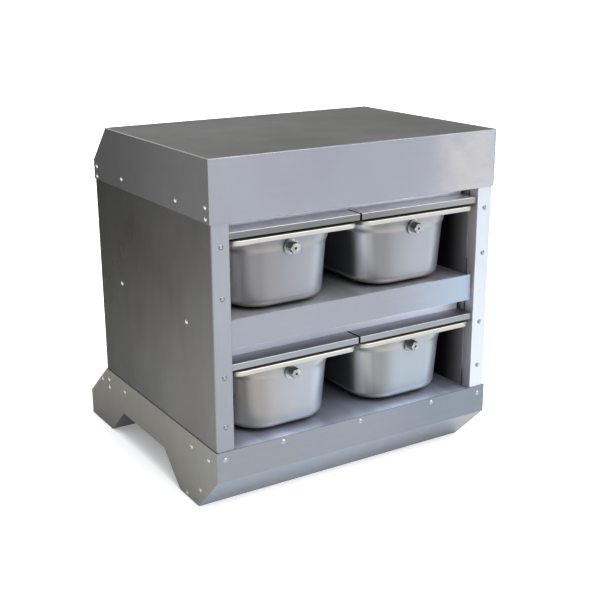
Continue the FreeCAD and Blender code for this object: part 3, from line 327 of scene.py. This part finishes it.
MAT = {
    # left side: painted shading along the panel, and its front-facing flange a lighter painted lit tone, a little
    # darker low down
    "side_l": steel("side_steel_left", (0.136, 0.134, 0.128), 0.44, "z", 0.3, 0.22, 0.05, seed=1.0, wave=0.10,
                    ramps=SIDE_PAINTED_SHADING, front=(0.212, 0.222, 0.248), front_ramps=((Z, 0.13, 0.30, 0.91, 1.0),), tint=DULL,
                    streak=(X, (26, 26, 5), (0.07, 0.07, 0.07), 0.38)),
    # right side: the front stile a near-white painted light, a little darker towards the top and darker where it turns
    # the outer corner; the outer face a painted lit tone, lighter low down and at the front; the bay side painted shade
    # and the turned-in flange painted light
    "side_r": steel("side_steel_right", (0.135, 0.134, 0.129), 0.44, "z", 0.3, 0.10, 0.03, seed=4.0, wave=0.05,
                    ramps=(FLANGE_PAINTED_LIGHT, BAY_PAINTED_SHADE), front=(0.405, 0.434, 0.480),
                    front_ramps=((Z, 0.1, 0.35, 1.05, 0.95),
                                 (X, 0.2132, 0.2147, (1.0, 1.0, 1.0), (0.42, 0.50, 0.62))), tint=DULL,
                    outer=(0.17, 0.17, 0.168), outer_ramps=((Z, 0.06, 0.42, 1.12, 0.72), (Y, -0.21, 0.15, 1.0, 0.9))),
    # cap and base cheeks: painted shading, darker towards the back
    "cap_cheek": steel("cheek_steel", (0.115, 0.115, 0.116), 0.45, "y", 0.3, 0.08, 0.02, seed=2.0,
                       ramps=((Y, -0.21, 0.15, 1.1, 0.75),), tint=DULL),
    "base_cheek": steel("base_cheek_steel", (0.237, 0.233, 0.214), 0.45, "y", 0.3, 0.06, 0.02, seed=2.5,
                        ramps=((Y, -0.21, 0.15, 1.08, 0.90),), tint=DULL),
    # base front: painted shading, a little bluer towards the middle and darker to the right; the down-facing chamfer a
    # painted reflection of the floor, darker to the right
    "front": steel("front_steel", (0.158, 0.166, 0.182), 0.42, "x", 0.3, 0.05, 0.02, seed=5.0, wave=0.04,
                   ramps=((X, -0.2, 0.0, (1.0, 1.0, 1.0), (0.99, 1.03, 1.07)),
                          (X, 0.0, 0.14, (1.0, 1.0, 1.0), (0.83, 0.885, 0.935))), below=(0.144, 0.172, 0.215),
                   below_ramps=((X, -0.05, 0.2, 1.0, 0.70),), bend_amount=0.0),
    # top cap: painted shading, lighter at the left end; the apron's front tone painted light, lighter to the right and
    # darker where it turns the right corner; edge gives a near-black line along the bends that face the front
    "top": steel("top_steel", (0.183, 0.183, 0.175), 0.42, "x", 0.15, 0.12, 0.03, seed=7.0, wave=0.06, lined=0.05,
                 spot=(X, 0.10, 0.155, (0.318, 0.315, 0.322), 0.85), ramps=((X, -0.2, 0.2, 1.08, 0.95),), front=LIT_FRONT_BLUE,
                 front_ramps=((X, -0.16, -0.02, 1.0, 0.955), (X, 0.05, 0.215, (1.0, 1.0, 1.0), (1.40, 1.38, 1.38)),
                              (X, 0.2142, 0.2160, (1.0, 1.0, 1.0), (0.40, 0.40, 0.42))), bend_amount=1.0,
                 edge=(0.06, 0.061, 0.064)),
    # back: painted shading, lighter low down and to the left
    "back": steel("back_steel", (0.20, 0.20, 0.198), 0.44, "x", 0.3, 0.12, 0.04, seed=9.0, wave=0.08, bend_amount=0.0,
                  ramps=((Z, 0.0, 0.4, 1.1, 0.8), (X, -0.2, 0.2, 1.05, 0.92))),
    # pan brackets: painted shade, dark at the back and light at the mouth
    "wall": steel("bay_wall_steel", (0.44, 0.425, 0.425), 0.45, "z", 0.3, 0.07, 0.04, seed=9.5, ramps=(BAY_PAINTED_SHADE,)),
    # centre rails: near black, a painted shadow in the gap between the covers
    "rail": steel("rail_painted_shadow", (0.012, 0.012, 0.013), 0.55, "y", 0.3, 0.07, 0.01, seed=10.0, metallic=0.3,
                  bend_amount=0.0),
    # shelf: painted shadow towards the back behind the pans, painted light along the front edge; its fascia a painted
    # lit tone, lighter and bluer to the right
    "shelf": steel("shelf_steel", (0.46, 0.475, 0.51), 0.45, "x", 0.3, 0.07, 0.03, seed=11.0, front=LIT_FRONT_BLUE,
                   ramps=((Y, -0.13, 0.05, 1.0, 0.35), (Y, -0.206, -0.185, 1.45, 1.0)),
                   streak=(Z, (42, 6, 6), (0.24, 0.24, 0.23), 0.38),
                   front_ramps=((X, -0.2, 0.0, 0.95, 0.98), (X, 0.02, 0.2, (1.0, 1.0, 1.0), (1.23, 1.43, 1.58)),)),
    # floor deck: painted shadow towards the back behind the pans, painted light along the front edge
    "floor": steel("floor_deck_steel", (0.40, 0.44, 0.545), 0.45, "x", 0.3, 0.07, 0.03, seed=12.0,
                   ramps=((Y, -0.13, 0.05, 1.0, 0.35), (Y, -0.209, -0.185, 1.6, 1.0)),
                   streak=(Z, (42, 6, 6), (0.24, 0.23, 0.21), 0.38)),
    # upper covers, a painted copy of the lower ones: the lip darker as painted shade, lighter to the right; a painted
    # highlight along the lip's top bend; the top face painted near white as painted light, lighter to the back; ends
    # near black as painted shadow in the gaps
    "cover_u": steel("cover_steel_upper", (0.106, 0.109, 0.113), 0.40, "x", 0.3, 0.05, 0.02, seed=13.0, bend_amount=1.0,
                     ramps=((X, -0.02, 0.19, 1.0, 1.8),), edge=(0.36, 0.365, 0.38), top=(0.97, 0.98, 1.0), ends=(0.006, 0.006, 0.006),
                     top_ramps=((Y, -0.206, -0.190, 0.9, 1.25),)),
    # lower covers: a faint painted highlight along the lip's top bend; the top face a painted reflection, dark at the
    # front and lighter to the back; ends near black as painted shadow in the gaps
    "cover_l": steel("cover_steel_lower", (0.175, 0.188, 0.207), 0.40, "x", 0.3, 0.05, 0.02, seed=14.0, bend_amount=1.0,
                     edge=(0.19, 0.195, 0.21), top=(0.17, 0.175, 0.195), ends=(0.006, 0.006, 0.006),
                     top_ramps=((Y, -0.205, -0.180, 0.62, 1.6),)),
    # lamp tray: painted light, lighter to the right and a little darker low down
    "tray": steel("tray_aluminium", (0.585, 0.615, 0.71), 0.45, "x", 0.3, 0.04, 0.02, seed=15.0, metallic=0.6,
                  ramps=((X, -0.05, 0.18, 1.0, 1.6), (Z, 0.24, 0.32, 0.86, 1.0))),
    # four like pans, each with its own tone, warm painted reflection and lift: painted lit and shaded copies of one pan
    "pan_ul": pan("pan_steel_upper_left", -0.1865, 0.341, (0.183, 0.192, 0.216), (0.81, 0.76, 0.71), 0.72, 17.0, 2.0),
    "pan_ur": pan("pan_steel_upper_right", 0.0045, 0.341, (0.213, 0.226, 0.254), (0.70, 0.67, 0.63), 0.56, 27.0, 1.25),
    "pan_ll": pan("pan_steel_lower_left", -0.1865, 0.176, (0.230, 0.246, 0.278), (0.88, 0.81, 0.70), 0.55, 37.0),
    "pan_lr": pan("pan_steel_lower_right", 0.0045, 0.176, (0.224, 0.254, 0.290), (0.76, 0.70, 0.60), 0.42, 47.0),
    "washer": steel("washer_steel", (0.255, 0.265, 0.275), 0.35, "y", 0.2, 0.04, 0.02, swing=0.03, smear=0.03,
                    seed=18.0, metallic=1.0, bend_amount=0.0, mottle=(240.0, 0.65, 1.10)),
    # knobs: faces looking up darker, as painted shade
    "bright": steel("knob_steel", (0.27, 0.28, 0.275), 0.30, "y", 0.2, 0.04, 0.02, swing=0.03, smear=0.03, seed=19.0,
                    metallic=1.0, bend_amount=0.0, top=(0.17, 0.175, 0.172), mottle=(300.0, 0.70, 1.15)),
    "rivet": steel("rivet_aluminium", (0.26, 0.265, 0.28), 0.34, "z", 0.15, 0.04, 0.01, swing=0.03, smear=0.03,
                   seed=21.0, metallic=1.0, bend_amount=0.0),
    "rivet_side": steel("rivet_aluminium_side", (0.42, 0.42, 0.42), 0.34, "z", 0.15, 0.04, 0.01, swing=0.03,
                        smear=0.03, seed=22.0, metallic=1.0, bend_amount=0.0),
    "rivet_pop": steel("rivet_aluminium_pop", (0.125, 0.128, 0.138), 0.34, "z", 0.15, 0.04, 0.01, swing=0.03,
                       smear=0.03, seed=24.0, metallic=1.0, bend_amount=0.0, dot=(0.24, 0.25, 0.27)),
    "glass": lamp_glass("lamp_glass"),
    "capmetal": steel("lamp_cap_metal", (0.60, 0.60, 0.61), 0.30, "x", 0.2, 0.03, 0.01, seed=23.0, metallic=1.0,
                      bend_amount=0.0),
    "holder": enamel("holder_plastic", (0.70, 0.70, 0.67), 0.42, seed=2.0),
    "ballast": enamel("ballast_enamel", (0.60, 0.60, 0.57), 0.35, seed=4.0),
    "inlet": enamel("inlet_plastic", (0.025, 0.025, 0.027), 0.38, seed=6.0),
}


def material_of(n):
    exact = {"side_panel_left": "side_l", "side_panel_right": "side_r", "base_front": "front", "top_cap": "top",
             "floor_deck": "floor", "middle_shelf": "shelf", "base_rear": "back", "back_panel": "back",
             "ballast": "ballast", "mains_inlet": "inlet", "rivets_stile": "rivet_pop",
             "rivets_base_front": "rivet", "rivets_shelf": "rivet_side", "rivets_cap": "rivet_side",
             "rivets_base_side": "rivet_side", "pan_upper_left": "pan_ul", "pan_upper_right": "pan_ur",
             "pan_lower_left": "pan_ll", "pan_lower_right": "pan_lr"}
    starts = {"cap_cheek": "cap_cheek", "base_cheek": "base_cheek", "pan_bracket": "wall", "centre_rail": "rail",
              "cover_upper": "cover_u", "cover_lower": "cover_l", "lamp_tray": "tray", "uv_tube": "glass",
              "tube_ends": "capmetal", "lamp_holders": "holder", "knob_washer": "washer"}
    if n in exact:
        return exact[n]
    for start, key in starts.items():
        if n.startswith(start):
            return key
    return "bright"


def dress(obj, key):
    obj.data.materials.clear()
    obj.data.materials.append(MAT[key])


for name, obj in NODES.items():
    dress(obj, material_of(name))
    for poly in obj.data.polygons:
        poly.use_smooth = True
    obj.data.set_sharp_from_angle(angle=math.radians(35))
    even = obj.modifiers.new("even_normals", "WEIGHTED_NORMAL")
    even.mode = "FACE_AREA"
    even.weight = 80
    even.keep_sharp = True

# ---------------------------------------------------------------- stage and light
def stage():
    mesh = bpy.data.meshes.new("floor")
    bm = bmesh.new()
    bmesh.ops.create_grid(bm, x_segments=1, y_segments=1, size=80.0)
    bm.to_mesh(mesh)
    bm.free()
    floor = bpy.data.objects.new("floor", mesh)
    floor.location.z = -0.0006
    scene.collection.objects.link(floor)
    g = Graph("floor_pale")
    g.bsdf.inputs["Base Color"].default_value = (0.92, 0.92, 0.92, 1)
    g.bsdf.inputs["Roughness"].default_value = 0.9
    g.bsdf.inputs["Emission Color"].default_value = (1.0, 1.0, 0.99, 1)
    g.bsdf.inputs["Emission Strength"].default_value = 0.22
    floor.data.materials.append(g.mat)


def area(name, place, look, size, power, colour=(1, 1, 1)):
    light = bpy.data.lights.new(name, "AREA")
    light.shape = "RECTANGLE"
    light.size, light.size_y = size
    light.energy = power
    light.color = colour
    obj = bpy.data.objects.new(name, light)
    scene.collection.objects.link(obj)
    obj.location = place
    obj.rotation_euler = (Vector(look) - Vector(place)).to_track_quat("-Z", "Y").to_euler()
    return obj


stage()


def sun(name, toward, strength, angle, colour=(1, 1, 1)):
    light = bpy.data.lights.new(name, "SUN")
    light.energy = strength
    light.angle = math.radians(angle)
    light.color = colour
    obj = bpy.data.objects.new(name, light)
    scene.collection.objects.link(obj)
    obj.rotation_euler = Vector(toward).to_track_quat("Z", "Y").to_euler()
    return obj


sun("sky_light", (0.35, -0.75, 1.0), 5.0, 60.0)


def make_world():
    """Soft studio: bright in front and overhead, dimmer to the left and behind."""
    world = bpy.data.worlds.new("world")
    scene.world = world
    world.use_nodes = True
    tree = world.node_tree
    tree.nodes.clear()
    out = tree.nodes.new("ShaderNodeOutputWorld")
    bg = tree.nodes.new("ShaderNodeBackground")
    coord = tree.nodes.new("ShaderNodeTexCoord")

    def lobe(direction, low, high, value):
        d = Vector(direction).normalized()
        dot = tree.nodes.new("ShaderNodeVectorMath")
        dot.operation = "DOT_PRODUCT"
        dot.inputs[1].default_value = d
        tree.links.new(coord.outputs["Generated"], dot.inputs[0])
        span = tree.nodes.new("ShaderNodeMapRange")
        span.interpolation_type = "SMOOTHSTEP"
        span.inputs["From Min"].default_value = low
        span.inputs["From Max"].default_value = high
        span.inputs["To Max"].default_value = value
        tree.links.new(dot.outputs["Value"], span.inputs["Value"])
        return span.outputs[0]

    def add(a, b):
        node = tree.nodes.new("ShaderNodeMath")
        node.operation = "ADD"
        for socket, v in zip(node.inputs, (a, b)):
            if hasattr(v, "links"):
                tree.links.new(v, socket)
            else:
                socket.default_value = v
        return node.outputs[0]
    total = add(0.22, lobe((0.45, -0.8, 0.35), -0.2, 0.9, 0.85))
    total = add(total, lobe((0.0, 0.0, 1.0), 0.25, 0.95, 0.75))
    path = tree.nodes.new("ShaderNodeLightPath")
    seen = tree.nodes.new("ShaderNodeMapRange")
    tree.links.new(path.outputs["Is Camera Ray"], seen.inputs["Value"])
    tree.links.new(total, seen.inputs["To Min"])
    seen.inputs["To Max"].default_value = 1.1
    tree.links.new(seen.outputs[0], bg.inputs["Strength"])
    bg.inputs["Color"].default_value = (0.97, 0.98, 1.0, 1)
    tree.links.new(bg.outputs[0], out.inputs[0])


make_world()
